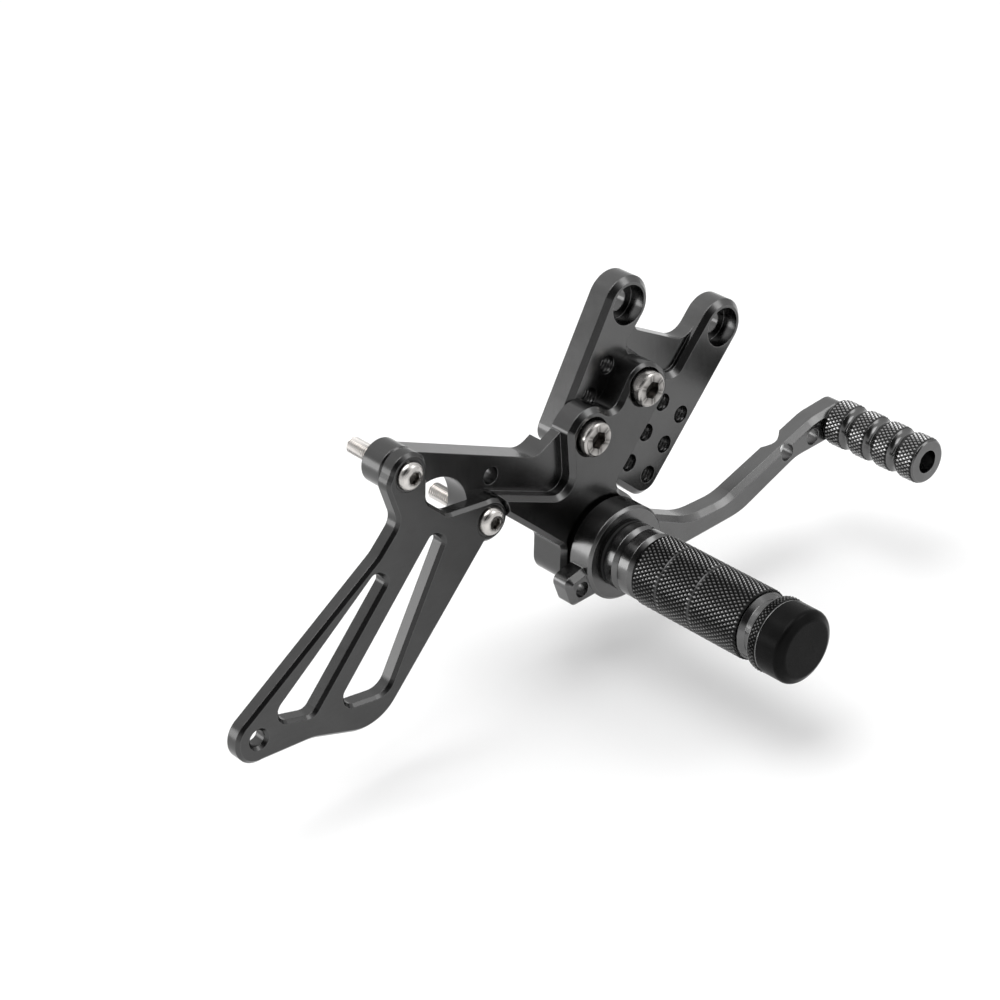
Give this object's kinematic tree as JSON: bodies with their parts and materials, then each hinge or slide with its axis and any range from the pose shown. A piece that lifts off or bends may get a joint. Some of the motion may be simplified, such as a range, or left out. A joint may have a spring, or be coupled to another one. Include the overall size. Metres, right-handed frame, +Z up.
{
  "type": "motorcycle rearset footpeg assembly",
  "caption": "Right-hand motorcycle rearset: knurled footpeg, hinged brake lever with toe peg and slotted heel guard, bolted to an adjustable drilled mount plate.",
  "frame": {"origin": "axis of the rear frame-bolt hole, on the mount plate's seating face", "axes": "+X forward on the motorbike, +Y inward to the frame, +Z up"},
  "size_m": [0.2862, 0.1286, 0.1146],
  "materials": {
    "plate_anodised": "dark titanium anodised, milled, glossy",
    "guard_anodised": "dark titanium anodised, milled, satin gloss",
    "lever_anodised": "dark titanium anodised, milled with bright bevels",
    "peg_anodised": "dark titanium anodised, turned and diamond knurled",
    "screw_steel": "plain stainless steel",
    "cap_black": "satin black moulded plastic",
    "thrust_black": "black acetal",
    "bush_bronze": "sintered bronze"
  },
  "bodies": {
    "rearset": {"mount_plate": "plate_anodised", "carrier_plate": "plate_anodised", "carrier_screws": "screw_steel", "heel_guard": "guard_anodised", "heel_guard_screws": "screw_steel", "pivot_sleeve": "screw_steel", "inner_thrust_washer": "thrust_black", "outer_thrust_washer": "thrust_black", "footpeg": "peg_anodised", "peg_end_cap": "cap_black", "peg_bolt": "screw_steel", "peg_bolt_washer": "screw_steel"},
    "brake_pedal": {"brake_lever": "lever_anodised", "lever_bush": "bush_bronze", "toe_peg": "peg_anodised", "toe_peg_screw": "screw_steel"}
  },
  "joints": [
    {"name": "brake_pivot", "type": "hinge", "parent": "rearset", "child": "brake_pedal", "pos_m": [-0.02609, -0.0265, -0.08153], "axis": [0, 1, 0], "range_deg": [-8, 20]}
  ]
}
